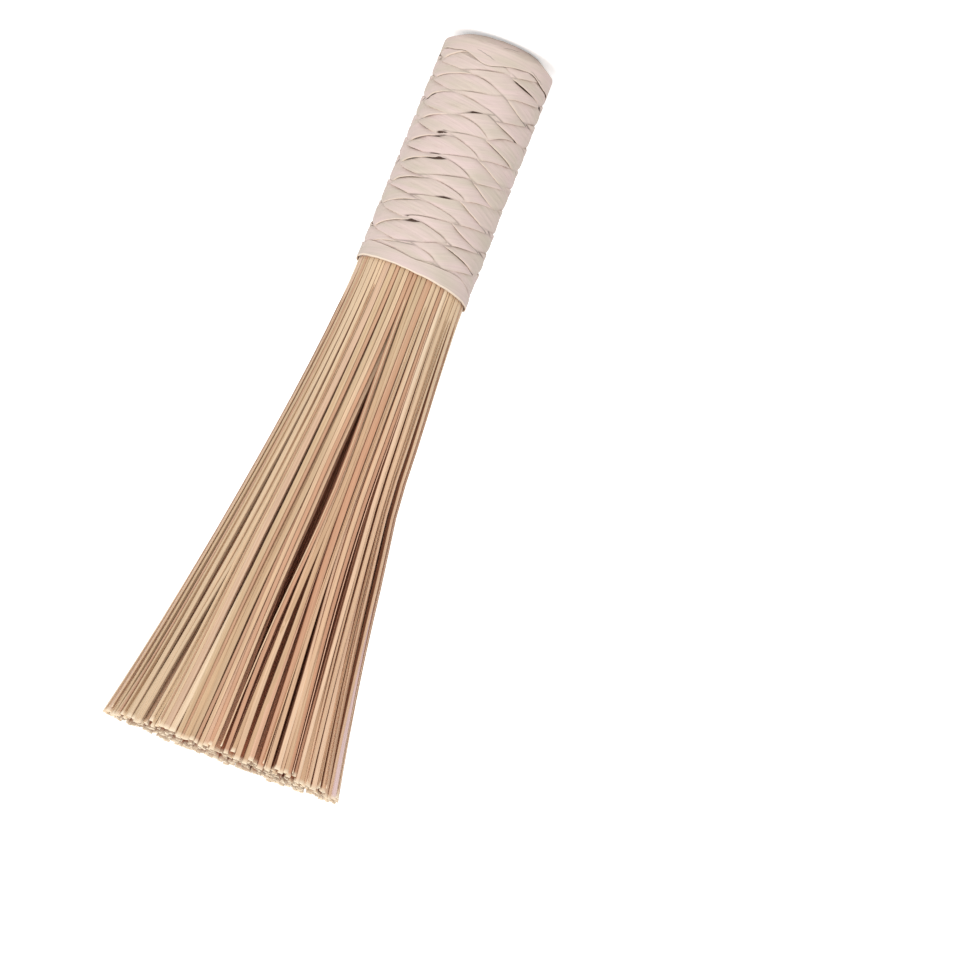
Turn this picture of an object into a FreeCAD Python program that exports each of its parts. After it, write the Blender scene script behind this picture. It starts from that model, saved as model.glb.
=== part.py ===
"""Bamboo wok brush standing on its sawn butt: a round bundle of split bamboo strips that flares
above the handle, held by a plaited sleeve of flat bamboo peel. Units are millimetres, +Z runs
from the butt to the trimmed tips, and the origin is the centre of the butt."""

import FreeCAD, Part
import math
import os
import random

# Driving dimensions of the bundle
overall_length = 245.0
strip_width = 2.45
strip_thickness = 1.48
strip_gap = 0.06
ring_count = 10
butt_squeeze = 0.04

# How the strips flare above the handle, as slopes away from the axis of the outermost ones
flare_start_slope = 0.07
flare_end_slope = 0.2
flare_stations = 4

# How far a strip strays from its even place, as a share of the room that the flare opens
stray_across = 0.42
stray_radial = 0.3
stray_seed = 7

# Driving dimensions of the plaited wrap
wrap_length = 82.5
butt_reveal = 0.9
butt_rounding = 4.0
lip_thickness = 1.7
wrap_clearance = 0.05
peel_thickness = 0.75
plait_strips_each_way = 4
plait_row_pitch = 7.3
plait_sway = 0.3
butt_rim_tilt = 2.2
mouth_rim_tilt = 4.3

# Where the plait's first corner lies round the handle, in degrees, and above the butt
plait_turn = -63.0
plait_lift = 0.4

# Lines of the plait's grid within one strip spacing, as shares of that spacing
GRID_LINES = (-0.5, -0.42, 0.0, 0.42)
EDGE_LINE = 0.42
GROOVE_LINE = 0.5

# How far the plait's face drops at its edges and corners, as shares of one peel's thickness
DIVE_DROP = 0.4
GROOVE_DROP = 0.8
CORNER_DROP = 1.2

# How near two grid places lie when they are on the same line
TOUCH = 1e-6

mouth_height = butt_reveal + wrap_length
flare_length = overall_length - mouth_height
lip_height = butt_reveal + lip_thickness


def vector(x, y, z):
    return FreeCAD.Vector(x, y, z)


def corner_radius(face_radius):
    """Distance from the axis to the corners of a strip whose outer face is at face_radius."""
    return math.hypot(face_radius, strip_width / 2)


def ring_layout(draw):
    """Middle radius and the strips' angles of each ring, from the core strip outwards."""
    rings = []
    inner = math.hypot(strip_width, strip_thickness) / 2 + strip_gap
    for _ in range(ring_count):
        half_angle = math.atan((strip_width + strip_gap) / 2 / inner)
        count = int(math.pi / half_angle)
        first = draw.uniform(0, 2 * math.pi)
        angles = [first + place * 2 * math.pi / count for place in range(count)]
        rings.append((inner + strip_thickness / 2, angles))
        inner = corner_radius(inner + strip_thickness) + strip_gap
    return rings


def squeeze(height):
    """Share of its full section that the bundle keeps at a height within the handle."""
    return 1 - butt_squeeze * (1 - min(height / mouth_height, 1))


def spread(height, bundle_radius):
    """How many times wider the bundle is at a height than at the mouth of the handle."""
    above = max(height - mouth_height, 0)
    bend = (flare_end_slope - flare_start_slope) / 2
    return 1 + above * (flare_start_slope + bend * above / flare_length) / bundle_radius


def strip_section(radius, angle, height, size, stray_side):
    """A strip's rectangle at one height, flat against its ring."""
    out = vector(math.cos(angle), math.sin(angle), 0)
    across = vector(-math.sin(angle), math.cos(angle), 0)
    middle = out * radius + across * stray_side + vector(0, 0, height)
    half_out = out * (size * strip_thickness / 2)
    half_across = across * (size * strip_width / 2)
    corners = [
        middle - half_out - half_across,
        middle + half_out - half_across,
        middle + half_out + half_across,
        middle - half_out + half_across,
    ]
    return Part.makePolygon(corners + corners[:1])


def bamboo_strip(radius, angle, start, bundle_radius, stray_out, stray_side):
    """One split strip: straight inside the handle, then bending out in a slow curve."""
    heights = [start]
    for station in range(flare_stations):
        heights.append(mouth_height + flare_length * station / (flare_stations - 1))
    sections = []
    for height in heights:
        size = squeeze(height)
        wider = spread(height, bundle_radius)
        moved_out = stray_out * (wider - 1) * (strip_thickness + strip_gap)
        moved_side = stray_side * (wider - 1) * (strip_width + strip_gap)
        place = radius * size * wider + moved_out
        sections.append(strip_section(place, angle, height, size, moved_side))
    return Part.makeLoft(sections, True, True)


def bundle(rings, draw):
    """Every strip, as one list for each ring, with the single core strip first.

    The outermost ring stands on the sleeve's lip, and the rest reach the butt."""
    bundle_radius = rings[-1][0]
    made = [[bamboo_strip(0, 0, 0.0, bundle_radius, 0, 0)]]
    for radius, angles in rings:
        start = lip_height + wrap_clearance if radius == bundle_radius else 0.0
        strips = []
        for angle in angles:
            stray_out = draw.uniform(-stray_radial, stray_radial)
            stray_side = draw.uniform(-stray_across, stray_across)
            strips.append(bamboo_strip(radius, angle, start, bundle_radius, stray_out, stray_side))
        made.append(strips)
    return made


def plait_drop(u, v):
    """Drop of the plait's face at grid place u, v, where whole numbers are strip centres.

    Strips of one direction lie on top where the two numbers add up to an even one, and the
    other direction's where they add up to an odd one. The top strip has a sharp edge along
    its own sides and slopes down to dive under its neighbours at its ends."""
    row_u, row_v = math.floor(u + 0.5), math.floor(v + 0.5)
    from_u, from_v = abs(u - row_u), abs(v - row_v)
    groove_u = from_u > GROOVE_LINE - TOUCH
    groove_v = from_v > GROOVE_LINE - TOUCH
    if groove_u and groove_v:
        return CORNER_DROP * peel_thickness
    if groove_u or groove_v:
        return GROOVE_DROP * peel_thickness
    on_top = (row_u + row_v) % 2 == 0
    towards_end = from_v if on_top else from_u
    return DIVE_DROP * peel_thickness if towards_end > EDGE_LINE - TOUCH else 0.0


def edge_inset(height):
    """How far the sleeve's rounded butt edge lies inside its straight side at a height."""
    below = max(butt_rounding - max(height, 0), 0)
    return butt_rounding - math.sqrt(butt_rounding ** 2 - below ** 2)


def plait_point(u, v, face_radius):
    """The wrap's outer surface at a grid place, on strips that climb as they go round."""
    even = (u - v) * math.pi / plait_strips_each_way
    sway = plait_sway * math.sin(plait_strips_each_way * even) / plait_strips_each_way
    angle = even + sway + math.radians(plait_turn)
    height = plait_lift + plait_row_pitch * (u + v - 1) / 2
    radius = face_radius * squeeze(height) - plait_drop(u, v) - edge_inset(height)
    return vector(radius * math.cos(angle), radius * math.sin(angle), height)


def grid_value(index):
    """The place that a grid line's running number stands for."""
    whole, line = divmod(index, len(GRID_LINES))
    return whole + GRID_LINES[line]


def plait_body(face_radius):
    """A solid with the plait's relief all round, longer than the wrap at both ends."""
    lines = len(GRID_LINES)
    around = lines * plait_strips_each_way
    first_level = -4 * lines
    last_level = 2 * lines * (math.ceil(wrap_length / plait_row_pitch) + 3)
    below = vector(0, 0, -2 * wrap_length)
    above = vector(0, 0, 3 * wrap_length)
    points = {}

    def point(i, j):
        turn = (i - j) // (2 * around)
        i, j = i - turn * around, j + turn * around
        if (i, j) not in points:
            points[(i, j)] = plait_point(grid_value(i), grid_value(j), face_radius)
        return points[(i, j)]

    facets = []
    for level in range(first_level, last_level):
        for step in range(around):
            i = (level + 1) // 2 + step
            j = level - i
            near, far = point(i, j), point(i + 1, j + 1)
            right, left = point(i, j + 1), point(i + 1, j)
            facets += [(near, left, far), (near, far, right)]
            if level == first_level:
                facets += [(near, below, left), (near, right, below)]
            if level == last_level - 1:
                facets += [(left, above, far), (far, above, right)]
    shell = Part.makeShell([Part.Face(Part.makePolygon([a, b, c, a])) for a, b, c in facets])
    shell.sewShape()
    return Part.Solid(shell)


def cutting_block(height, tilt, axis, upwards):
    """A block whose one face crosses the brush at a height, leaning by tilt degrees."""
    side = 4 * wrap_length
    block = Part.makeBox(side, side, side, vector(-side / 2, -side / 2, 0 if upwards else -side))
    block.rotate(vector(0, 0, 0), axis, tilt)
    block.translate(vector(0, 0, height))
    return block


def bore_section(face_radius, angles, height):
    """The bore's outline at one height, with one flat side for each strip that it holds."""
    corner = face_radius / math.cos(math.pi / len(angles))
    half_step = math.pi / len(angles)
    points = [
        vector(corner * math.cos(angle + half_step), corner * math.sin(angle + half_step), height)
        for angle in angles
    ]
    return Part.makePolygon(points + points[:1])


def bore(face_radius, angles, bottom, top):
    """The space for what lies inside face_radius between two heights, squeezed as the bundle is."""
    sections = [
        bore_section(face_radius * squeeze(height) + wrap_clearance, angles, height)
        for height in (bottom, top)
    ]
    return Part.makeLoft(sections, True, True)


def plaited_wrap(rings):
    """The woven sleeve as one wall: plait relief outside, a bore that fits the outer ring, and
    a lip at the butt that the outer strips stand on, with a hole for all the other strips."""
    radius, angles = rings[-1]
    seat = radius + strip_thickness / 2
    lip_seat = corner_radius(rings[-2][0] + strip_thickness / 2)
    face_radius = corner_radius(seat) + wrap_clearance + 2 * peel_thickness
    rim_fall = face_radius * math.tan(math.radians(mouth_rim_tilt))
    butt = cutting_block(butt_reveal, -butt_rim_tilt, vector(0, 1, 0), False)
    mouth = cutting_block(mouth_height - rim_fall, mouth_rim_tilt, vector(0, 1, 0), True)
    main_bore = bore(seat, angles, lip_height, mouth_height)
    lip_hole = bore(lip_seat, angles, 0, lip_height)
    return plait_body(face_radius).cut([butt, mouth, main_bore, lip_hole])


def export(shapes, name):
    shape = shapes[0] if len(shapes) == 1 else Part.makeCompound(shapes)
    shape.exportStep("parts/" + name + ".step")


def main():
    os.makedirs("parts", exist_ok=True)
    draw = random.Random(stray_seed)
    rings = ring_layout(draw)
    made = bundle(rings, draw)
    export(made[0], "core_strip")
    for number, strips in enumerate(made[1:-1], 1):
        export(strips, "strips_ring_%d" % number)
    for number, strip in enumerate(made[-1], 1):
        export([strip], "outer_strip_%02d" % number)
    export([plaited_wrap(rings)], "plaited_wrap")


main()
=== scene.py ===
"""The bamboo wok brush as it looks: a flaring bundle of split bamboo strips in a plaited sleeve.

Sizes are in millimetres, heights are above the sawn butt, and angles go round the brush. An angle
called facing is counted from the side that the photograph shows, positive to its right."""

import math
import random

import bmesh
import bpy
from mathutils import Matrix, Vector, noise


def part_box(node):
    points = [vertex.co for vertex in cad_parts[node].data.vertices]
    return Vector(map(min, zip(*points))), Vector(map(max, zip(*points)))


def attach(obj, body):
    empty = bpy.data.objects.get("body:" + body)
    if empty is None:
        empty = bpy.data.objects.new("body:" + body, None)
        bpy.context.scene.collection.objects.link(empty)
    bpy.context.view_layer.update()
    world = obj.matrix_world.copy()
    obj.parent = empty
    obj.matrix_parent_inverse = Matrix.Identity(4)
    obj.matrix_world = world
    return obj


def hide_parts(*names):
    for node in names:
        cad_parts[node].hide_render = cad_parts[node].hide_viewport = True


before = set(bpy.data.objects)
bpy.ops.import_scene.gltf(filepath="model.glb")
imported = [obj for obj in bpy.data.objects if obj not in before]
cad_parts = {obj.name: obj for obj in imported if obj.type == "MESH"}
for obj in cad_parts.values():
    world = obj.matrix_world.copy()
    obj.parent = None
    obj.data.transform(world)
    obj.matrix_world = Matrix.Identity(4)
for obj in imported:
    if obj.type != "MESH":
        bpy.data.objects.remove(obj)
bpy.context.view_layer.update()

MM = 0.001
BODY = "root"

# Heights of the solid model that everything here is fitted to
overall_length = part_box("core_strip")[1].z / MM
mouth_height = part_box("plaited_wrap")[1].z / MM
flare_length = overall_length - mouth_height

# The bundle of strips
bundle_radius = 17.5
tip_radius = 39.7
outer_layer_radius = tip_radius - 0.9
second_layer_radius = tip_radius - 3.4
tip_slant = 2.0
core_crowding = 0.6
core_place = 0.4
butt_squeeze = 0.04
ring_count = 10
mouth_overlap = 1.12
flare_start_slope = 0.07
flare_end_slope = 0.2
swell_height = 1.4
swell_rise = 0.8
swell_fade = 24.0
swell_start = 2.5
bundle_bow = 0.85
bundle_bow_parts = (0.1, 0.75)
side_dip = 1.1
side_dip_part = 0.42
side_dip_reach = 0.1
butt_end_gap = 0.4

# One strip, with the ranges that its own differences are drawn from
strip_widths = (1.0, 2.6)
usual_width = 1.5
strip_thicknesses = (1.1, 1.4)
strip_chamfer = 0.22
strip_crown = 0.08
strip_lift = 0.18
lift_rise = 12
bow_outwards = 0.3
bow_sideways = 0.45
twist_spread = math.radians(6)
even_shortfalls = (0, 1.1)
broken_shortfalls = (1.2, 3.2)
broken_share = 0.08
brightnesses = (1.0, 1.12)
grain_seeds = 500

# The plaited sleeve
plait_strips_each_way = 4
plait_row_pitch = 7.3
plait_sway = 0.3
plait_turn = math.radians(-63.0)
plait_lift = 0.4
peel_thickness = 0.6
peel_level = 0.4
peel_overlap = 0.07
band_sink = 0.1
wrap_radius = 18.57
wrap_outside = wrap_radius + peel_level + peel_thickness / 2
butt_rim = 0.9
butt_rim_slope = 0.02
mouth_rim_slope = math.tan(math.radians(4.3))
butt_dome_height = 4.3
butt_dome_slope = 1.55
butt_dome_softness = 0.35


def linear(red, green, blue):
    """A screen colour, 0 to 255, as the linear values that shaders take."""
    def channel(value):
        share = value / 255
        return share / 12.92 if share <= 0.04045 else ((share + 0.055) / 1.055) ** 2.4
    return (channel(red), channel(green), channel(blue), 1.0)


# Colours of the split bamboo, with how often each one comes up
BAMBOO_TONES = (
    (5, linear(228, 201, 168)),
    (3, linear(238, 214, 184)),
    (3, linear(223, 190, 162)),
    (3, linear(213, 184, 149)),
    (2, linear(211, 184, 150)),
    (2, linear(203, 164, 134)),
)
MAUVE_TONE = linear(222, 206, 208)
ROSY_STREAK = linear(238, 222, 208)
# Painted shade for strips deep inside the bundle, where little light reaches
DEEP_SHADE_TONE = linear(160, 88, 60)
# Painted shade on the strips' split sides, for the dark seams between strips
SPLIT_SIDE_SHADE_TONE = linear(122, 76, 54)
CUT_END = linear(255, 234, 204)
PEEL_TONE = linear(212, 198, 183)
PEEL_BLUSH = linear(225, 203, 197)
# Pale cut edges of the peel, partly painted highlight
PEEL_PALE_EDGE_AND_HIGHLIGHT = linear(246, 228, 208)
# Painted shade for the creases and slits of the plait
PAINTED_CREASE_SHADE = linear(76, 56, 46)


def facing_angle(facing):
    """Polar angle of a place that the photograph shows at a facing angle, in degrees."""
    return math.radians(-90.0 - facing)


def apart(angle, other):
    """Signed turn from one polar angle to another, the short way round."""
    return (angle - other + math.pi) % (2 * math.pi) - math.pi


def clamped(value, least, most):
    """The value, or the nearer of the two limits where it lies past them."""
    return min(max(value, least), most)


def smooth(value, start, stop):
    """A soft step from 0 at start to 1 at stop."""
    share = clamped((value - start) / (stop - start), 0.0, 1.0)
    return share * share * (3 - 2 * share)


def add_mesh(name, points, faces):
    """A mesh object in metres from points in millimetres."""
    mesh = bpy.data.meshes.new(name)
    mesh.from_pydata([tuple(place * MM for place in point) for point in points], [], faces)
    made = bpy.data.objects.new(name, mesh)
    bpy.context.scene.collection.objects.link(made)
    return made


def store(mesh, name, kind, values):
    """Keeps one value for each point of a mesh, for its material to read."""
    field = {"FLOAT": "value", "FLOAT_VECTOR": "vector", "FLOAT_COLOR": "color"}[kind]
    attribute = mesh.attributes.new(name, kind, "POINT")
    if kind != "FLOAT":
        values = [part for value in values for part in value]
    attribute.data.foreach_set(field, values)


def squeeze(height):
    """Share of its full section that the handle keeps at a height."""
    return 1 - butt_squeeze * (1 - min(height / mouth_height, 1))


def mouth_rim(angle):
    """Height of the sleeve's rim at the mouth, which is highest towards -X."""
    return mouth_height - wrap_outside * mouth_rim_slope * (1 + math.cos(angle))


def butt_edge(angle):
    """Height of the sleeve's rim at the butt, which is highest towards +X."""
    return butt_rim + wrap_outside * butt_rim_slope * math.cos(angle)


def edge_inset(height):
    """How far the sleeve lies inside its straight side where it closes over the domed butt."""
    below = max(butt_dome_height - height, 0)
    return butt_dome_slope * (math.hypot(below, butt_dome_softness) - butt_dome_softness)


# The bundle of split bamboo strips

class Strip:
    """One split strip: its place at the mouth of the sleeve, its place at the tips, its section."""

    def __init__(self, ring, radius, angle, draw):
        self.ring = ring
        self.radius = radius
        self.angle = angle
        self.width = draw.triangular(*strip_widths, usual_width)
        self.thickness = draw.uniform(*strip_thicknesses)
        self.tip_angle = angle
        crowding = (max(radius, core_place) / bundle_radius) ** core_crowding
        self.tip_radius = outer_layer_radius * crowding
        self.lift = draw.uniform(-strip_lift, strip_lift)
        self.bow_out = draw.gauss(0, bow_outwards)
        self.bow_side = draw.gauss(0, bow_sideways)
        self.twist = draw.gauss(0, twist_spread)
        broken = draw.random() <= broken_share
        self.shortfall = draw.uniform(*(broken_shortfalls if broken else even_shortfalls))
        often, tones = zip(*BAMBOO_TONES)
        self.tone = draw.choices(tones, often)[0]
        self.brightness = draw.uniform(*brightnesses)
        self.seed = draw.uniform(0, grain_seeds)


def flare_share(above):
    """How far the flare has opened at a height above the mouth, from 0 there to 1 at the tips."""
    part = max(above, 0) / flare_length
    bend = (flare_end_slope - flare_start_slope) / 2
    return part * (flare_start_slope + bend * part) / (flare_start_slope + bend)


def swell(strip, height):
    """The quick bulge of the outer strips where the sleeve lets go of them."""
    above = max(height - mouth_rim(strip.angle) + swell_start, 0)
    bulge = swell_height * (1 - math.exp(-above / swell_rise)) * math.exp(-above / swell_fade)
    return bulge * (strip.radius / bundle_radius) ** 2


def right_dip(angle, part):
    """How far the bundle is drawn in on its right side, halfway up."""
    turned = max(math.cos(apart(angle, facing_angle(90))), 0)
    return side_dip * turned ** 2 * math.exp(-(((part - side_dip_part) / side_dip_reach) ** 2))


def lay_rings(draw):
    """Every strip at the mouth of the sleeve, ring by ring from the core outwards."""
    strips = [Strip(0, 0.0, 0.0, draw)]
    pitch = bundle_radius / (ring_count + 0.5)
    for ring in range(1, ring_count + 1):
        radius = pitch * ring
        around = 2 * math.pi * radius * mouth_overlap
        made = []
        filled = 0.0
        while True:
            strip = Strip(ring, radius, 0.0, draw)
            if filled + strip.width > around:
                break
            strip.angle = filled + strip.width / 2
            filled += strip.width
            made.append(strip)
        first = draw.uniform(0, 2 * math.pi)
        for strip in made:
            strip.angle = (first + strip.angle / filled * 2 * math.pi) % (2 * math.pi)
            strip.tip_angle = strip.angle
        strips += made
    return strips


# Room between clumps of strips at the tips and within one, as shares, then the ranges in
# millimetres by which some clumps are cut shorter and strips stray from their layer
CLUMP_GAPS = (0.5, 1.8)
NARROW_GAP = 0.1
CUT_BACKS = (0.2, 1.6)
LAYER_STRAY = (-0.5, 0.2)


def spread_layer(strips, layer_radius, clump_sizes, draw):
    """Spaces a layer's strips round the tips in clumps, with most of the free room between them."""
    strips.sort(key=lambda strip: strip.angle)
    shares = []
    left = draw.randint(*clump_sizes)
    cut_back = 0.0
    for strip in strips:
        left -= 1
        shares.append(draw.uniform(*CLUMP_GAPS) if left == 0 else NARROW_GAP)
        strip.shortfall += cut_back
        if left == 0:
            left = draw.randint(*clump_sizes)
            cut_back = draw.choice((0.0, 0.0, draw.uniform(*CUT_BACKS)))
    free = 2 * math.pi * layer_radius - sum(strip.width for strip in strips)
    scale = free / sum(shares)
    place = strips[0].angle * layer_radius
    for strip, share in zip(strips, shares):
        strip.tip_angle = (place + strip.width / 2) / layer_radius
        strip.tip_radius = layer_radius + draw.uniform(*LAYER_STRAY)
        place += strip.width + share * scale
    drift = sum(strip.tip_angle - strip.angle for strip in strips) / len(strips)
    for strip in strips:
        strip.tip_angle -= drift


# Openings between the outer strips on the photographed side: facing angle, heights above the
# mouth where it starts and where it is widest, and its width there and at the tips
FRONT_OPENINGS = (
    (-66, 20, 120, 1.0, 0.6),
    (-50, 2, 95, 2.2, 0.5),
    (-41, 90, 145, 3.0, 3.2),
    (-25, 2, 60, 1.0, 0.3),
    (-12, 60, 120, 1.2, 0.4),
    (0, 4, 75, 4.6, 2.4),
    (5, 70, 125, 1.6, 1.4),
    (10, 70, 130, 2.4, 2.0),
    (15, 60, 140, 1.8, 1.6),
    (23, 70, 130, 1.6, 1.4),
    (33, 20, 105, 2.6, 1.2),
    (47, 60, 120, 1.1, 0.7),
    (62, 4, 110, 2.3, 1.2),
)

# Openings on the other sides: their number, the facing angles between which they lie, how far
# each strays from its even place, and the ranges of the same four values
SCATTERED_OPENINGS = 13
SCATTER_SIDES = (82, 278)
SCATTER_STRAY = (0.2, 0.8)
SCATTER_STARTS = (2, 70)
SCATTER_MIDDLES = (80, 135)
SCATTER_WIDTHS = (0.7, 2.6)
SCATTER_TIP_WIDTHS = (0.3, 1.2)

# How far round an opening pushes strips aside, in millimetres, the least share of a push that
# counts, the rings between which the push grows from none to all, and the least radius at which
# a strip moves sideways
OPENING_REACH = 4.5
LEAST_PUSH = 0.02
PUSHED_RINGS = (ring_count - 4.5, ring_count - 2.5)
SIDEWAYS_RADIUS = 1


def all_openings(draw):
    """The openings that the photograph shows, and ones like them round the rest of the brush."""
    openings = [(facing_angle(opening[0]),) + opening[1:] for opening in FRONT_OPENINGS]
    first, last = SCATTER_SIDES
    for number in range(SCATTERED_OPENINGS):
        place = number + draw.uniform(*SCATTER_STRAY)
        facing = first + (last - first) * place / SCATTERED_OPENINGS
        start, widest = draw.uniform(*SCATTER_STARTS), draw.uniform(*SCATTER_MIDDLES)
        width, tip_width = draw.uniform(*SCATTER_WIDTHS), draw.uniform(*SCATTER_TIP_WIDTHS)
        openings.append((facing_angle(facing), start, widest, width, tip_width))
    return openings


def opening_width(opening, above):
    """How wide an opening is at a height above the mouth."""
    _, start, widest, width, tip_width = opening
    if above < widest:
        return width * smooth(above, start, widest)
    return width + (tip_width - width) * smooth(above, widest, flare_length)


def pushed_aside(strip, above, openings):
    """How far the openings beside a strip push it round the brush at a height, in millimetres."""
    moved = 0.0
    for opening in openings:
        away = apart(strip.angle, opening[0]) * bundle_radius
        fade = math.exp(-abs(away) / OPENING_REACH)
        if fade > LEAST_PUSH:
            moved += math.copysign(opening_width(opening, above) / 2 * fade, away)
    return moved * smooth(strip.ring, *PUSHED_RINGS)


def strip_path(strip, height, openings):
    """Middle of a strip at a height, with the directions outwards and sideways and its twist."""
    above = max(height - mouth_height, 0)
    part = above / flare_length
    share = flare_share(above)
    radius = strip.radius * squeeze(height) + swell(strip, height)
    radius += strip.lift * smooth(above, 0, lift_rise)
    radius += (strip.tip_radius - strip.radius) * share + strip.bow_out * math.sin(math.pi * part)
    radius = max(radius - right_dip(strip.angle, part) * strip.radius / bundle_radius, 0)
    angle = strip.angle + (strip.tip_angle - strip.angle) * share
    if radius > SIDEWAYS_RADIUS:
        aside = strip.bow_side * math.sin(math.pi * part) + pushed_aside(strip, above, openings)
        angle += aside / radius
    out = Vector((math.cos(angle), math.sin(angle), 0))
    side = Vector((-math.sin(angle), math.cos(angle), 0))
    middle = out * radius + Vector((bundle_bow * smooth(part, *bundle_bow_parts), 0, height))
    return middle, out, side, strip.twist * part


def butt_height(strip):
    """Height of a strip's sawn end: flat in the middle, and short of the dome further out."""
    inside = wrap_radius * squeeze(0) - peel_level - peel_thickness
    over = strip.radius * squeeze(0) + strip.thickness - inside
    return max(butt_dome_height + butt_end_gap + over / butt_dome_slope, 0)


# How deep in the bundle painted shade starts to darken a strip, over how many millimetres more it
# would turn wholly dark, and the most that it does
DARK_DEPTH = 1.5
DARK_SPAN = 3.6
DARKEST = 0.85

# Where the strips are redder: facing angle, cosines of the turn from it and heights above the
# mouth between which the shift grows, and the shift of each of the three colours
RED_FACING = 35
RED_TURNS = (0.5, 0.95)
RED_HEIGHTS = (15, 60)
RED_SHIFT = (1.06, 0.95, 0.92)


def tone_with_depth_shade(strip, radius, above):
    """A strip's colour at a place: redder on one side, and with painted shade deep inside the
    bundle.
    """
    outside = bundle_radius + (tip_radius - bundle_radius) * flare_share(above)
    depth_shade = clamped((outside - radius - DARK_DEPTH) / DARK_SPAN, 0, DARKEST)
    turn = math.cos(apart(strip.angle, facing_angle(RED_FACING)))
    red = smooth(turn, *RED_TURNS) * smooth(above, *RED_HEIGHTS)
    tone = [own * (1 + (shift - 1) * red) for own, shift in zip(strip.tone[:3], RED_SHIFT)]
    return [(own + (dark - own) * depth_shade) * strip.brightness for own, dark in zip(tone, DEEP_SHADE_TONE)]


# How much of their painted shade the split sides lose on the brush's left, as if lit from there,
# and the heights above the mouth and cosines of the turn from the left between which they do
SIDE_FADE = 0.5
SIDE_FADE_HEIGHTS = (5, 60)
SIDE_FADE_TURNS = (-0.3, 0.6)


def split_side_shade(strip, above):
    """How much painted shade a strip's split sides get, from 0 to 1: less on the brush's lit left.
    """
    leftwards = math.cos(apart(strip.angle, facing_angle(-90)))
    fade = SIDE_FADE * smooth(above, *SIDE_FADE_HEIGHTS)
    return 1 - fade * smooth(leftwards, *SIDE_FADE_TURNS)


# Places along a strip where it has a section, as shares of its free length
FLARE_STATIONS = (
    0.0, 0.01, 0.025, 0.045, 0.075, 0.12, 0.18, 0.25, 0.32, 0.39,
    0.46, 0.53, 0.6, 0.67, 0.74, 0.81, 0.88, 0.94, 0.99, 1.0,
)

# Millimetres below the sleeve's rim at which the first of them lies, by which a tip's corners are
# chipped, and by which the grain of a strip's back is shifted from its front's
STATION_LEAD = 3
TIP_CHIP = 0.4
BACK_GRAIN_SHIFT = 4

# The most that a chamfer takes, as a share of half the strip
LARGEST_CUT = 0.4


def strip_section(width, thickness):
    """A chamfered, slightly crowned rectangle as pairs across and outwards."""
    side, face = width / 2, thickness / 2
    cut = min(strip_chamfer, LARGEST_CUT * side, LARGEST_CUT * face)
    low = face - strip_crown
    return (
        (0, face), (side - cut, low), (side, low - cut), (side, cut - low), (side - cut, -low),
        (cut - side, -low), (-side, cut - low), (-side, low - cut), (cut - side, low),
    )


def build_strips(name, strips, openings, draw):
    """One mesh with all the strips of a ring. The ones that lie deep inside get painted shade."""
    points, faces, tones, grains, ends, painted_side_shades = [], [], [], [], [], []
    for strip in strips:
        slant = tip_slant * math.sin(strip.tip_angle) * strip.tip_radius / tip_radius
        top = overall_length - slant - strip.shortfall
        start = mouth_rim(strip.angle) - STATION_LEAD
        heights = [start + (top - start) * station for station in FLARE_STATIONS]
        heights.insert(0, butt_height(strip))
        first = len(points)
        section = strip_section(strip.width, strip.thickness)
        outermost = max(across for across, _ in section)
        for level, height in enumerate(heights):
            middle, out, side, twist = strip_path(strip, height, openings)
            size = squeeze(height)
            last_level = level == len(heights) - 1
            tone = tone_with_depth_shade(strip, middle.xy.length, height - mouth_height)
            side_shade = split_side_shade(strip, height - mouth_height)
            for across, outwards in section:
                painted_side_shades.append(side_shade if abs(across) == outermost else 0.0)
                across, outwards = across * size, outwards * size
                turned_side = across * math.cos(twist) - outwards * math.sin(twist)
                turned_out = across * math.sin(twist) + outwards * math.cos(twist)
                chip = draw.uniform(-TIP_CHIP, 0) if last_level else 0.0
                points.append(middle + out * turned_out + side * turned_side + Vector((0, 0, chip)))
                tones.append(tone + [1.0])
                grains.append((across + BACK_GRAIN_SHIFT * (outwards < 0), height, strip.seed))
                ends.append(1.0 if last_level else 0.0)
        corners = len(section)
        for level in range(len(heights) - 1):
            low = first + level * corners
            for corner in range(corners):
                after = (corner + 1) % corners
                high = low + corners
                faces.append((low + corner, high + corner, high + after, low + after))
        faces.append(tuple(first + corner for corner in range(corners)))
        last = first + (len(heights) - 1) * corners
        faces.append(tuple(last + corner for corner in reversed(range(corners))))
    made = add_mesh(name, points, faces)
    store(made.data, "tone", "FLOAT_COLOR", tones)
    store(made.data, "grain", "FLOAT_VECTOR", grains)
    store(made.data, "cut_end", "FLOAT", ends)
    store(made.data, "side", "FLOAT", painted_side_shades)
    return made


# Splinters: their number, their section and lift in millimetres, how much shorter and further out
# their tips are than those of the strip beside them, and how far they cross it
SLIVER_COUNT = 16
SLIVER_WIDTHS = (0.3, 0.65)
SLIVER_THICKNESS = 0.35
SLIVER_LIFT = 0.75
SLIVER_SHORTFALL = 1.5
SLIVER_TIP_LIFT = 0.2
SLIVER_CROSSING = math.radians(3)


def loose_slivers(outer, draw):
    """Thin splinters that lie on the outer strips and cross from one to another."""
    slivers = []
    for _ in range(SLIVER_COUNT):
        beside = draw.choice(outer)
        sliver = Strip(ring_count, beside.radius, beside.angle, draw)
        sliver.width = draw.uniform(*SLIVER_WIDTHS)
        sliver.thickness = SLIVER_THICKNESS
        sliver.lift = SLIVER_LIFT
        sliver.bow_out = beside.bow_out
        sliver.shortfall = beside.shortfall + SLIVER_SHORTFALL
        sliver.tip_angle = beside.tip_angle + draw.gauss(0, SLIVER_CROSSING)
        sliver.tip_radius = beside.tip_radius + SLIVER_TIP_LIFT
        slivers.append(sliver)
    return slivers
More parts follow.
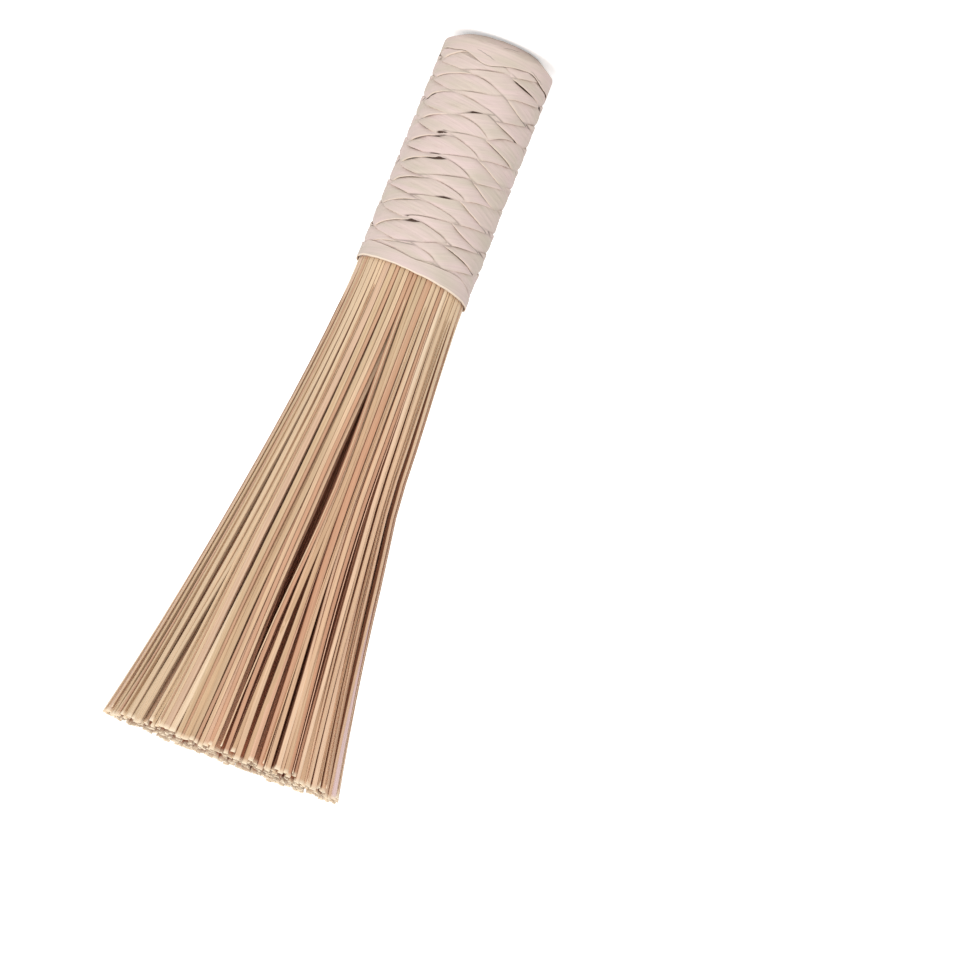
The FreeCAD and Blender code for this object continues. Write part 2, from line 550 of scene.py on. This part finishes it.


# The plaited sleeve of bamboo peel

# Slits beside the edges of peels that stand a little apart, with dark painted shade in them: facing
# angle, height, half length in millimetres, and whether the edge belongs to a peel that climbs to
# the right
SLITS = (
    (-46, 14.6, 2.8, False), (34, 14.5, 6.5, True), (76, 16.0, 2.0, True), (-4, 25.8, 1.4, False),
    (-28, 36.8, 1.5, False), (51, 31.0, 1.3, True), (-22, 45.3, 3.4, False), (-2, 54.3, 3.6, False),
    (-20, 66.6, 3.8, False), (64, 71.6, 1.8, True), (-64, 26.0, 1.5, False), (100, 22.0, 3.0, True),
    (125, 44.0, 2.4, False), (150, 62.5, 3.0, True), (175, 29.6, 1.8, False), (200, 51.5, 3.0, True),
    (225, 70.0, 2.2, False), (250, 36.9, 3.0, True), (262, 58.8, 1.8, False),
)

# How far above and below its height a slit takes in an edge, the share of that over which it
# fades, how much wider and darker its painted shade is than a crease's, and how much deeper it sinks
# the peel
SLIT_REACH = 2.2
SLIT_FADE = 0.3
SLIT_WIDENING = 0.8
SLIT_STRENGTH = 2.6
SLIT_SINK = 0.3


def slit_share(angle, height, climbs_right):
    """How much a place beside a peel's edge lies within a slit and its painted shade, from 0 to 1.
    """
    share = 0.0
    for facing, middle, half_length, rightwards in SLITS:
        up = abs(height - middle) / SLIT_REACH
        if rightwards == climbs_right and up < 1:
            along = apart(angle, facing_angle(facing)) * wrap_radius / half_length
            share = max(share, (1 - along * along) * smooth(1 - up, 0.0, SLIT_FADE))
    return share


def plait_place(u, v):
    """Angle and height of a grid place, where whole numbers are the middles of the peels."""
    even = (u - v) * math.pi / plait_strips_each_way
    sway = plait_sway * math.sin(plait_strips_each_way * even) / plait_strips_each_way
    return even + sway + plait_turn, plait_lift + plait_row_pitch * (u + v - 1) / 2


def soft_noise(angle, height, scale, seed):
    """Smooth noise on the sleeve's face, without a seam round it."""
    place = Vector((wrap_radius * math.cos(angle), wrap_radius * math.sin(angle), height)) * scale
    return noise.noise(place + Vector((seed, seed, seed)))


# Depths of the smooth bands at the two ends of the sleeve, and the waves of their inner edges:
# their heights, their number, where they start, and the noise that makes them uneven
BUTT_BAND_DEPTH = 9.1
MOUTH_BAND_DEPTH = 4.4
BUTT_BAND_WAVE = 1.4
MOUTH_BAND_WAVE = 0.9
BAND_WAVES = 4
BAND_WAVE_START = 1.0
BAND_WAVE_SCALE = 0.12
BUTT_WAVE_SEED = 40.0
MOUTH_WAVE_SEED = 60.0

# Distances from a band's edge between which the peels dip under it
UNDER_BAND = (-0.4, 0.5)


def band_edge(angle, at_mouth):
    """Height of the wavy inner edge of the smooth band at one end of the sleeve."""
    seed = MOUTH_WAVE_SEED if at_mouth else BUTT_WAVE_SEED
    uneven = soft_noise(angle, 0.0, BAND_WAVE_SCALE, seed)
    wave = math.sin(BAND_WAVES * angle + BAND_WAVE_START) + uneven
    if at_mouth:
        return mouth_rim(angle) - MOUTH_BAND_DEPTH + MOUTH_BAND_WAVE * wave
    return BUTT_BAND_DEPTH + BUTT_BAND_WAVE * wave


def under_bands(angle, height):
    """How much a place lies under one of the two end bands, from 0 to 1."""
    to_mouth = height - band_edge(angle, True)
    to_butt = band_edge(angle, False) - height
    return smooth(max(to_mouth, to_butt), *UNDER_BAND)


# How much the plait's relief varies over the sleeve: usual share, change with the noise, its
# scale and seed, and the least and the most
RELIEF = 0.85
RELIEF_CHANGE = 1.2
RELIEF_SCALE = 0.11
RELIEF_SEED = 5.0
RELIEF_LIMITS = (0.4, 1.35)


def plait_radius(angle, height, level):
    """Radius of a peel's middle. level is 1 on top and -1 underneath."""
    relief = RELIEF + RELIEF_CHANGE * soft_noise(angle, height, RELIEF_SCALE, RELIEF_SEED)
    lay = peel_level * level * clamped(relief, *RELIEF_LIMITS)
    sunk = under_bands(angle, height)
    lay = lay * (1 - sunk) - (peel_level + band_sink) * sunk
    return wrap_radius * squeeze(height) - edge_inset(height) + lay


# A peel's samples: how many lie along it for each crossing, where they lie across it as shares of
# half its width, and the share of its thickness that it has there
PEEL_SAMPLES = 28
PEEL_ACROSS = (
    -1.0, -0.985, -0.95, -0.88, -0.75, -0.5, -0.2, 0.2, 0.5, 0.75, 0.88, 0.95, 0.985, 1.0,
)
PEEL_ROUNDING = (0.0, 0.6, 0.9, 1.0, 1.0, 1.0, 1.0, 1.0, 1.0, 1.0, 1.0, 0.9, 0.6, 0.0)

# Where the noise of a peel or band may start, how far a peel's middle and sides wander on the
# grid, how quickly along it, and how far apart the noise of its two sides lies
NOISE_STARTS = (0, 100)
PEEL_WANDER = 0.16
MIDDLE_WANDER_RATE = 0.7
SIDE_WANDER_RATE = 0.9
SIDE_WANDER_SEED = 7.0

# Millimetres that a peel runs on past the sleeve's ends before it is cut, below and above, and
# metres within which one of its points counts as lying on the cutting plane
PEEL_RUN_ON = (3, 4)
ON_PLANE = 1e-7

# How far outside the covering peel's edge a peel has come up halfway, over how many millimetres
# it does, and the furthest distance that counts
CREASE_OFFSET = 0.35
CREASE_SOFTNESS = 0.8
FAR_OUTSIDE = 3.0

# The unevenness of a peel's face: its height, scale and noise
FACE_UNEVENNESS = 0.12
FACE_SCALE = 0.3

# The cream line along a peel's sides, partly its pale cut edge and partly painted highlight: its
# strength and the shares of half the width where it grows
PEEL_EDGE_STRENGTH = 0.65
PEEL_EDGE = (0.94, 0.99)

# How strong the edges' painted highlight and painted shadow line are where neither side is
# favoured by the light, and how much that changes
EDGE_PRESENCE = 0.62
EDGE_CHANGE = 0.38

# How dark the painted shadow lines of the creases are: usual strength, change with the noise, its
# scale and seed, and limits
CREASE_STRENGTH = 0.3
CREASE_CHANGE = 1.1
CREASE_SCALE = 0.17
CREASE_SEED = 77.0
CREASE_LIMITS = (0.05, 0.75)


class Peel:
    """One long peel of the plait: which way it climbs, its number, and its own irregularity."""

    def __init__(self, number, climbs_right, draw):
        self.number = number
        self.climbs_right = climbs_right
        self.phase = draw.uniform(*NOISE_STARTS)
        self.over_first = (number % 2 == 0) == climbs_right

    def middle(self, along):
        """Where its middle lies across the grid at a place along it."""
        place = Vector((along * MIDDLE_WANDER_RATE, self.phase, 0))
        return self.number + PEEL_WANDER * noise.noise(place)

    def half_width(self, along, side):
        """How far it reaches to one side of its middle, on the grid."""
        place = Vector((along * SIDE_WANDER_RATE, self.phase, SIDE_WANDER_SEED * side))
        return 0.5 + peel_overlap + PEEL_WANDER * noise.noise(place)

    def place(self, along, own):
        """Angle and height of a place along it and across the grid."""
        return plait_place(own, along) if self.climbs_right else plait_place(along, own)

    def covered_at(self, along):
        """The nearest crossing, as a whole number, where this peel passes underneath."""
        odd = 1 if self.over_first else 0
        return 2 * round((along - odd) / 2) + odd


def outside_cover(peel, others, along, own):
    """Distance in millimetres from a place on a peel to the edge of the peel that covers it,
    negative where it is covered."""
    crossing = peel.covered_at(along)
    turns = crossing // plait_strips_each_way
    other = others[crossing % plait_strips_each_way]
    other_along = own + turns * plait_strips_each_way
    away = along - turns * plait_strips_each_way - other.middle(other_along)
    reach = other.half_width(other_along, 1 if away > 0 else -1)
    steepness = math.pi / plait_strips_each_way * wrap_radius
    spacing = steepness * plait_row_pitch / math.hypot(steepness, plait_row_pitch / 2)
    return (abs(away) - reach) * spacing


def edge_presence(climbs_right, angle):
    """How strong a peel's edge's painted highlight or painted shadow line is, which changes from the
    brush's left to its right as the light falls.
    """
    rightwards = math.cos(apart(angle, facing_angle(90)))
    return EDGE_PRESENCE + EDGE_CHANGE * (rightwards if climbs_right else -rightwards)


def crease_strength(peel, angle, height, slit):
    """How dark the painted shadow line is where a crossing peel's edge lies on this one. Over 1 it
    is wider too.
    """
    uneven = CREASE_STRENGTH + CREASE_CHANGE * soft_noise(angle, height, CREASE_SCALE, CREASE_SEED)
    shadow_line = clamped(uneven, *CREASE_LIMITS) * edge_presence(not peel.climbs_right, angle)
    return shadow_line * (1 - slit) + SLIT_STRENGTH * slit


def build_peel(name, peel, others):
    """One long peel of the plait, cut off at both rims."""
    below, beyond = PEEL_RUN_ON
    start = 2 * (-below - plait_lift) / plait_row_pitch + 1 - peel.number
    stop = 2 * (mouth_height + beyond - plait_lift) / plait_row_pitch + 1 - peel.number
    steps = int((stop - start) * PEEL_SAMPLES)
    points, faces, grains, edges, outside, crease_shadows = [], [], [], [], [], []
    columns = len(PEEL_ACROSS)
    ring = 2 * columns - 2
    for step in range(steps + 1):
        along = start + (stop - start) * step / steps
        widths = {side: peel.half_width(along, side) for side in (-1, 1)}
        for place in range(ring):
            column = place if place < columns else ring - place
            share = PEEL_ACROSS[column]
            across = share * widths[1 if share > 0 else -1]
            own = peel.middle(along) + across
            angle, height = peel.place(along, own)
            away = outside_cover(peel, others, along, own)
            slit = slit_share(angle, height, not peel.climbs_right)
            level = math.tanh((away - CREASE_OFFSET - SLIT_SINK * slit) / CREASE_SOFTNESS)
            outer = 1 if place < columns else -1
            radius = plait_radius(angle, height, level)
            radius += FACE_UNEVENNESS * soft_noise(angle, height, FACE_SCALE, peel.phase)
            radius += outer * PEEL_ROUNDING[column] * peel_thickness / 2
            points.append((radius * math.cos(angle), radius * math.sin(angle), height))
            grains.append((across * plait_row_pitch, along * 2 * plait_row_pitch, peel.phase))
            cream_and_highlight = PEEL_EDGE_STRENGTH * smooth(abs(share), *PEEL_EDGE)
            edges.append(cream_and_highlight * edge_presence(peel.climbs_right, angle))
            outside.append(min(away, FAR_OUTSIDE) / (1 + SLIT_WIDENING * slit))
            crease_shadows.append(crease_strength(peel, angle, height, slit))
    for step in range(steps):
        low = step * ring
        for place in range(ring):
            after = (place + 1) % ring
            faces.append((low + place, low + after, low + ring + after, low + ring + place))
    made = add_mesh(name, points, faces)
    store(made.data, "grain", "FLOAT_VECTOR", grains)
    store(made.data, "edge", "FLOAT", edges)
    store(made.data, "outside", "FLOAT", outside)
    store(made.data, "crease_shadow", "FLOAT", crease_shadows)
    trim_peel(made)
    return made


def trim_peel(made):
    """Cuts a peel at the planes of the two rims and closes the cuts."""
    mouth_middle = Vector((0, 0, mouth_height - wrap_outside * mouth_rim_slope)) * MM
    butt_middle = Vector((0, 0, butt_rim + wrap_outside * butt_rim_slope)) * MM
    mouth_normal = Vector((mouth_rim_slope, 0, 1))
    butt_normal = Vector((butt_rim_slope, 0, -1))
    working = bmesh.new()
    working.from_mesh(made.data)
    for middle, normal in ((mouth_middle, mouth_normal), (butt_middle, butt_normal)):
        cut = bmesh.ops.bisect_plane(
            working, geom=working.verts[:] + working.edges[:] + working.faces[:], dist=ON_PLANE,
            plane_co=middle, plane_no=normal, clear_outer=True,
        )
        rim = [item for item in cut["geom_cut"] if isinstance(item, bmesh.types.BMEdge)]
        bmesh.ops.contextual_create(working, geom=rim)
    bmesh.ops.recalc_face_normals(working, faces=working.faces[:])
    working.to_mesh(made.data)
    working.free()


# A band's samples: how many lie round it, and where they lie from its inner edge to the rim
BAND_STEPS = 240
BAND_ACROSS = (0.0, 0.01, 0.04, 0.1, 0.2, 0.3, 0.4, 0.5, 0.6, 0.7, 0.8, 0.88, 0.92, 1.0)

# A band's thickness, the square of the share that its inner edge keeps, the share of the band's
# depth over which that square grows by 1, how far below the sleeve's outermost radius it lies,
# and how far above the trim at the mouth its rim stands
BAND_THICKNESS = 0.3
BAND_EDGE_SHARE = 0.12
BAND_EDGE_GROWTH = 0.06
BAND_DEPTH = 0.03
BAND_RIM_RISE = 0.12

# The unevenness of a band's rim and of its face: height and scale
RIM_UNEVENNESS = 0.25
RIM_SCALE = 0.3
BAND_UNEVENNESS = 0.1
BAND_SCALE = 0.25

# The cream lines of a band: at the rim of the mouth, and fainter at its inner edge
RIM_LINE = (0.88, 0.92)
INNER_LINE = (0.0, 0.04)
INNER_LINE_STRENGTH = 0.6

# Creases in the band at the butt, shown as lines of painted shade: facing angle and height of both
# ends
BAND_CREASES = (
    (-27, 6.8, -2, 9.0), (-2, 4.1, 21, 2.4), (34, 6.9, 58, 8.6), (92, 6.0, 118, 4.2),
    (150, 3.8, 174, 5.6), (200, 6.8, 226, 5.2), (255, 3.4, 279, 5.0),
)

# Half their width at the middle, how dark and soft their painted shade is, how far past its ends a
# crease is looked for, and how they wander
BAND_CREASE_HALF_WIDTH = 0.17
BAND_CREASE_DARKNESS = 0.5
BAND_CREASE_SOFTNESS = 0.12
BAND_CREASE_RUN_ON = 2
BAND_CREASE_WANDER = 0.25
BAND_CREASE_SCALE = 0.9
BAND_CREASE_SEED = 31.0


def beside_band_crease(angle, height):
    """Signed distance to the nearest crease of the butt's band, and half the crease's width."""
    away, half_width = FAR_OUTSIDE, 0.0
    for facing, low, other_facing, other_low in BAND_CREASES:
        run = apart(facing_angle(other_facing), facing_angle(facing)) * wrap_radius
        rise = other_low - low
        length = math.hypot(run, rise)
        from_start = apart(angle, facing_angle(facing)) * wrap_radius
        along = (from_start * run + (height - low) * rise) / length
        beside = (from_start * rise - (height - low) * run) / length
        near = -BAND_CREASE_RUN_ON < along < length + BAND_CREASE_RUN_ON
        if near and abs(beside) < abs(away):
            away = beside
            half_width = BAND_CREASE_HALF_WIDTH * (1 - (2 * along / length - 1) ** 4)
    wander = BAND_CREASE_WANDER * soft_noise(angle, height, BAND_CREASE_SCALE, BAND_CREASE_SEED)
    return away + wander, half_width


def build_band(name, at_mouth, phase):
    """The smooth band of peel that closes one end of the sleeve: a thin ring with a wavy edge."""
    points, faces, grains, edges, lines = [], [], [], [], []
    columns = len(BAND_ACROSS)
    ring = 2 * columns
    for step in range(BAND_STEPS):
        angle = 2 * math.pi * step / BAND_STEPS
        rim = mouth_rim(angle) + BAND_RIM_RISE if at_mouth else butt_edge(angle)
        rim += RIM_UNEVENNESS * soft_noise(angle, 0.0, RIM_SCALE, phase)
        inner = band_edge(angle, at_mouth)
        for place in range(ring):
            column = place if place < columns else ring - 1 - place
            share = BAND_ACROSS[column]
            height = inner + (rim - inner) * share
            grown = min(BAND_EDGE_SHARE + share / BAND_EDGE_GROWTH, 1.0)
            thickness = BAND_THICKNESS * math.sqrt(grown)
            surface = wrap_outside * squeeze(height) - edge_inset(height) - BAND_DEPTH
            surface += BAND_UNEVENNESS * soft_noise(angle, height, BAND_SCALE, phase)
            radius = surface - (0 if place < columns else thickness)
            points.append((radius * math.cos(angle), radius * math.sin(angle), height))
            grains.append((height, angle * wrap_radius, phase))
            rim_line = smooth(share, *RIM_LINE) if at_mouth else 0.0
            inner_line = INNER_LINE_STRENGTH * (1 - smooth(share, *INNER_LINE))
            edges.append(max(rim_line, inner_line))
            lines.append((*beside_band_crease(angle, height), 0.0))
    for step in range(BAND_STEPS):
        low, high = step * ring, (step + 1) % BAND_STEPS * ring
        for place in range(ring):
            after = (place + 1) % ring
            faces.append((low + place, high + place, high + after, low + after))
    made = add_mesh(name, points, faces)
    working = bmesh.new()
    working.from_mesh(made.data)
    bmesh.ops.recalc_face_normals(working, faces=working.faces[:])
    working.to_mesh(made.data)
    working.free()
    store(made.data, "grain", "FLOAT_VECTOR", grains)
    store(made.data, "edge", "FLOAT", edges)
    store(made.data, "outside", "FLOAT", [FAR_OUTSIDE] * len(points))
    store(made.data, "crease_shadow", "FLOAT", [0.0] * len(points))
    store(made.data, "band_crease", "FLOAT_VECTOR", lines)
    return made


# Materials

def new_material(name, roughness, specular):
    """A material with its node tree and its main shader."""
    material = bpy.data.materials.new(name)
    material.use_nodes = True
    tree = material.node_tree
    shader = tree.nodes["Principled BSDF"]
    shader.inputs["Roughness"].default_value = roughness
    shader.inputs["Specular IOR Level"].default_value = specular
    return material, tree, shader


def attribute_node(tree, name):
    """A node that reads one of the values kept in the mesh."""
    source = tree.nodes.new("ShaderNodeAttribute")
    source.attribute_name = name
    return source


def grain_noise(tree, scales, detail, roughness):
    """Noise that runs lengthwise, from the grain places that the mesh keeps."""
    source = attribute_node(tree, "grain")
    stretch = tree.nodes.new("ShaderNodeVectorMath")
    stretch.operation = "MULTIPLY"
    stretch.inputs[1].default_value = scales
    pattern = tree.nodes.new("ShaderNodeTexNoise")
    pattern.inputs["Scale"].default_value = 1.0
    pattern.inputs["Detail"].default_value = detail
    pattern.inputs["Roughness"].default_value = roughness
    tree.links.new(source.outputs["Vector"], stretch.inputs[0])
    tree.links.new(stretch.outputs[0], pattern.inputs["Vector"])
    return pattern.outputs["Fac"]


def ramp(tree, source, low, high, start=0.3, stop=0.7):
    """Turns a value between start and stop into one between two levels."""
    stops = tree.nodes.new("ShaderNodeMapRange")
    stops.inputs["From Min"].default_value = start
    stops.inputs["From Max"].default_value = stop
    stops.inputs["To Min"].default_value = low
    stops.inputs["To Max"].default_value = high
    tree.links.new(source, stops.inputs["Value"])
    return stops.outputs["Result"]


def reckon(tree, operation, first, second=0.0):
    """A sum with a value and a constant or another value."""
    node = tree.nodes.new("ShaderNodeMath")
    node.operation = operation
    tree.links.new(first, node.inputs[0])
    if isinstance(second, bpy.types.NodeSocket):
        tree.links.new(second, node.inputs[1])
    else:
        node.inputs[1].default_value = second
    return node.outputs[0]


def scaled(tree, source, factor):
    """A value times a constant or another value."""
    return reckon(tree, "MULTIPLY", source, factor)


def blend_colour(tree, mode, factor, first, second):
    """Mixes or multiplies two colours. Each of the three may be a constant or another node's."""
    mix = tree.nodes.new("ShaderNodeMix")
    mix.data_type = "RGBA"
    mix.blend_type = mode
    for socket, value in zip((mix.inputs[0], mix.inputs[6], mix.inputs[7]), (factor, first, second)):
        if isinstance(value, bpy.types.NodeSocket):
            tree.links.new(value, socket)
        else:
            socket.default_value = value
    return mix.outputs[2]


def add_bump(tree, shader, source, strength, distance):
    """Raises the surface where a value is high, by a distance in millimetres."""
    bump = tree.nodes.new("ShaderNodeBump")
    bump.inputs["Strength"].default_value = strength
    bump.inputs["Distance"].default_value = distance * MM
    tree.links.new(source, bump.inputs["Height"])
    tree.links.new(bump.outputs["Normal"], shader.inputs["Normal"])


def bamboo_material():
    """Split bamboo: straw to pinkish strips with fine lengthwise fibres and pale cut ends."""
    material, tree, shader = new_material("split_bamboo", roughness=0.5, specular=0.3)
    tone = attribute_node(tree, "tone").outputs["Color"]
    cut_end = attribute_node(tree, "cut_end").outputs["Fac"]
    fibres = grain_noise(tree, scales=(4.5, 0.05, 1.0), detail=3.0, roughness=0.65)
    streaks = grain_noise(tree, scales=(1.1, 0.012, 3.0), detail=2.0, roughness=0.5)
    body = blend_colour(tree, "MULTIPLY", 1.0, tone, ramp(tree, fibres, low=0.8, high=1.12))
    rosy = blend_colour(tree, "MULTIPLY", 1.0, body, ROSY_STREAK)
    body = blend_colour(tree, "MIX", ramp(tree, streaks, low=0.0, high=0.6), body, rosy)
    # Painted shade on the split sides, for the dark seams between the strips
    side = attribute_node(tree, "side").outputs["Fac"]
    side = ramp(tree, side, low=0.0, high=0.9, start=0.1, stop=0.9)
    body = blend_colour(tree, "MULTIPLY", side, body, SPLIT_SIDE_SHADE_TONE)
    body = blend_colour(tree, "MIX", cut_end, body, CUT_END)
    tree.links.new(body, shader.inputs["Base Color"])
    add_bump(tree, shader, fibres, strength=0.4, distance=0.12)
    return material


def peel_material():
    """Bamboo peel: pale pinkish beige with faint fibres, cream edges that are partly painted
    highlight, and painted shadow lines beside them.
    """
    material, tree, shader = new_material("bamboo_peel", roughness=0.6, specular=0.25)
    fibres = grain_noise(tree, scales=(2.6, 0.05, 1.0), detail=4.0, roughness=0.6)
    blotches = grain_noise(tree, scales=(0.3, 0.07, 1.0), detail=2.0, roughness=0.5)
    blush = ramp(tree, blotches, low=0.0, high=1.0)
    body = blend_colour(tree, "MIX", blush, PEEL_TONE, PEEL_BLUSH)
    body = blend_colour(tree, "MULTIPLY", 1.0, body, ramp(tree, fibres, low=0.93, high=1.04))
    # Cream edges: partly the peel's pale cut edge, partly painted highlight
    body = blend_colour(tree, "MIX", attribute_node(tree, "edge").outputs["Fac"], body, PEEL_PALE_EDGE_AND_HIGHLIGHT)
    # Painted shadow lines beside the edges of covering peels, darker still in the slits
    outside = attribute_node(tree, "outside").outputs["Fac"]
    not_beyond = ramp(tree, outside, low=1.0, high=0.0, start=0.1, stop=0.5)
    not_covered = ramp(tree, outside, low=0.0, high=1.0, start=-0.25, stop=-0.05)
    shadow_line = scaled(tree, not_beyond, not_covered)
    shadow_line = scaled(tree, shadow_line, attribute_node(tree, "crease_shadow").outputs["Fac"])
    body = blend_colour(tree, "MIX", shadow_line, body, PAINTED_CREASE_SHADE)
    # Painted shade along the creases of the butt's band
    parts = tree.nodes.new("ShaderNodeSeparateXYZ")
    tree.links.new(attribute_node(tree, "band_crease").outputs["Vector"], parts.inputs[0])
    away = reckon(tree, "ABSOLUTE", parts.outputs[0])
    within = reckon(tree, "SUBTRACT", parts.outputs[1], away)
    crease_shadow = ramp(tree, within, 0.0, BAND_CREASE_DARKNESS, start=0.0, stop=BAND_CREASE_SOFTNESS)
    body = blend_colour(tree, "MIX", crease_shadow, body, PAINTED_CREASE_SHADE)
    tree.links.new(body, shader.inputs["Base Color"])
    add_bump(tree, shader, fibres, strength=0.3, distance=0.1)
    return material


# The scene round the brush

# The floor's half side in metres, its colour, and how much it is lifted for the camera
FLOOR_REACH = 40.0
FLOOR_TONE = (0.9, 0.9, 0.9, 1)
FLOOR_LIFT = 0.5

WORLD_LEVEL = 0.66
WHITE = (1, 1, 1, 1)


def seen_rays(tree):
    """1 for what the camera sees, also in a glossy or clear surface, and 0 for other light."""
    rays = tree.nodes.new("ShaderNodeLightPath").outputs
    through = reckon(tree, "MAXIMUM", rays["Is Glossy Ray"], rays["Is Transmission Ray"])
    return reckon(tree, "MAXIMUM", rays["Is Camera Ray"], through)


def white_floor():
    """A wide white floor: lit and shaded as it is, and lifted a little for the camera."""
    reach = FLOOR_REACH / MM
    corners = [(-reach, -reach, 0), (reach, -reach, 0), (reach, reach, 0), (-reach, reach, 0)]
    floor = add_mesh("floor", corners, [(0, 1, 2, 3)])
    material, tree, shader = new_material("floor_white", roughness=1.0, specular=0.0)
    shader.inputs["Base Color"].default_value = FLOOR_TONE
    shader.inputs["Emission Color"].default_value = WHITE
    tree.links.new(scaled(tree, seen_rays(tree), FLOOR_LIFT), shader.inputs["Emission Strength"])
    floor.data.materials.append(material)


def plain_world():
    """Even light from all round, and plain white where the camera sees it."""
    world = bpy.data.worlds.new("studio")
    world.use_nodes = True
    tree = world.node_tree
    background = tree.nodes["Background"]
    background.inputs["Color"].default_value = WHITE
    strength = ramp(tree, seen_rays(tree), low=WORLD_LEVEL, high=1.0, start=0.0, stop=1.0)
    tree.links.new(strength, background.inputs["Strength"])
    bpy.context.scene.world = world


def add_sun(name, strength, spread, facing, elevation):
    """A soft lamp from a facing angle and an elevation above the floor, in degrees."""
    lamp = bpy.data.lights.new(name, "SUN")
    lamp.energy = strength
    lamp.angle = math.radians(spread)
    sun = bpy.data.objects.new(name, lamp)
    around = facing_angle(facing)
    up = math.radians(elevation)
    level = math.cos(up)
    towards = Vector((math.cos(around) * level, math.sin(around) * level, math.sin(up)))
    sun.rotation_euler = towards.to_track_quat("Z", "Y").to_euler()
    bpy.context.scene.collection.objects.link(sun)


# The camera's place in metres, its turn in degrees, and its lens and sensor in millimetres
CAMERA_PLACE = (0.0, -1.47, 0.3692)
CAMERA_TURN = (99.72359, 158.97137, 5.35998)
CAMERA_LENS = 172.99
CAMERA_SENSOR = 36.0


def add_camera():
    """The photograph's camera: a long lens above the tips, rolled so that the butt is at the top."""
    lens = bpy.data.cameras.new("camera")
    lens.lens = CAMERA_LENS
    lens.sensor_width = CAMERA_SENSOR
    camera = bpy.data.objects.new("camera", lens)
    camera.location = CAMERA_PLACE
    camera.rotation_euler = [math.radians(turn) for turn in CAMERA_TURN]
    bpy.context.scene.collection.objects.link(camera)
    bpy.context.scene.camera = camera


# The whole brush

# Sizes of the clumps at the tips, in strips, in the outer layer and in the one below it
OUTER_CLUMPS = (1, 5)
SECOND_CLUMPS = (2, 5)

# The mauve strip: facing angle at the tips, width, twist, and how far out it is lifted
MAUVE_FACING = 68
MAUVE_WIDTH = 2.5
MAUVE_TWIST = math.radians(-50)
MAUVE_LIFT = 0.9

# Where the random draws start
SEED = 11


def dress(made, material, slot, *nodes):
    """Gives a piece its material and its body, and hides the solid model's nodes that it stands for.
    """
    made.data.materials.append(material)
    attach(made, BODY)
    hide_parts(*nodes)


def bristles(draw):
    """All the strips, laid at the mouth and spread to the tips, as one mesh for each ring."""
    openings = all_openings(draw)
    strips = lay_rings(draw)
    outer = [strip for strip in strips if strip.ring >= ring_count - 1]
    second = [strip for strip in strips if ring_count - 3 <= strip.ring < ring_count - 1]
    spread_layer(outer, outer_layer_radius, OUTER_CLUMPS, draw)
    spread_layer(second, second_layer_radius, SECOND_CLUMPS, draw)
    covered = [strip for strip in outer if strip.ring < ring_count]
    place = facing_angle(MAUVE_FACING)
    mauve = min(covered, key=lambda strip: abs(apart(strip.tip_angle, place)))
    mauve.tone = MAUVE_TONE
    mauve.width = MAUVE_WIDTH
    mauve.twist = MAUVE_TWIST
    mauve.tip_radius += MAUVE_LIFT
    strips += loose_slivers([strip for strip in outer if strip.ring == ring_count], draw)
    bamboo = bamboo_material()
    for ring in range(ring_count + 1):
        members = [strip for strip in strips if strip.ring == ring]
        made = build_strips("bristles_ring_%02d" % ring, members, openings, draw)
        if ring == 0:
            nodes = ["core_strip"]
        elif ring < ring_count:
            nodes = ["strips_ring_%d" % ring]
        else:
            nodes = [name for name in sorted(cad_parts) if name.startswith("outer_strip_")]
        dress(made, bamboo, "split_bamboo", *nodes)


def sleeve(draw):
    """The plaited peels and the smooth bands at both ends."""
    peel = peel_material()
    numbers = range(plait_strips_each_way)
    rightwards = [Peel(number, True, draw) for number in numbers]
    leftwards = [Peel(number, False, draw) for number in numbers]
    for side, own, others in (("right", rightwards, leftwards), ("left", leftwards, rightwards)):
        for number in numbers:
            made = build_peel("peel_%s_%d" % (side, number + 1), own[number], others)
            dress(made, peel, "bamboo_peel", "plaited_wrap")
    for name, at_mouth in (("band_mouth", True), ("band_butt", False)):
        made = build_band(name, at_mouth, draw.uniform(*NOISE_STARTS))
        dress(made, peel, "bamboo_peel", "plaited_wrap")


def main():
    """Builds the camera, the floor, the light and the brush."""
    add_camera()
    white_floor()
    plain_world()
    add_sun("key", strength=1.5, spread=35, facing=-14, elevation=46)
    draw = random.Random(SEED)
    bristles(draw)
    sleeve(draw)
    bpy.context.scene.view_settings.view_transform = "Standard"


main()
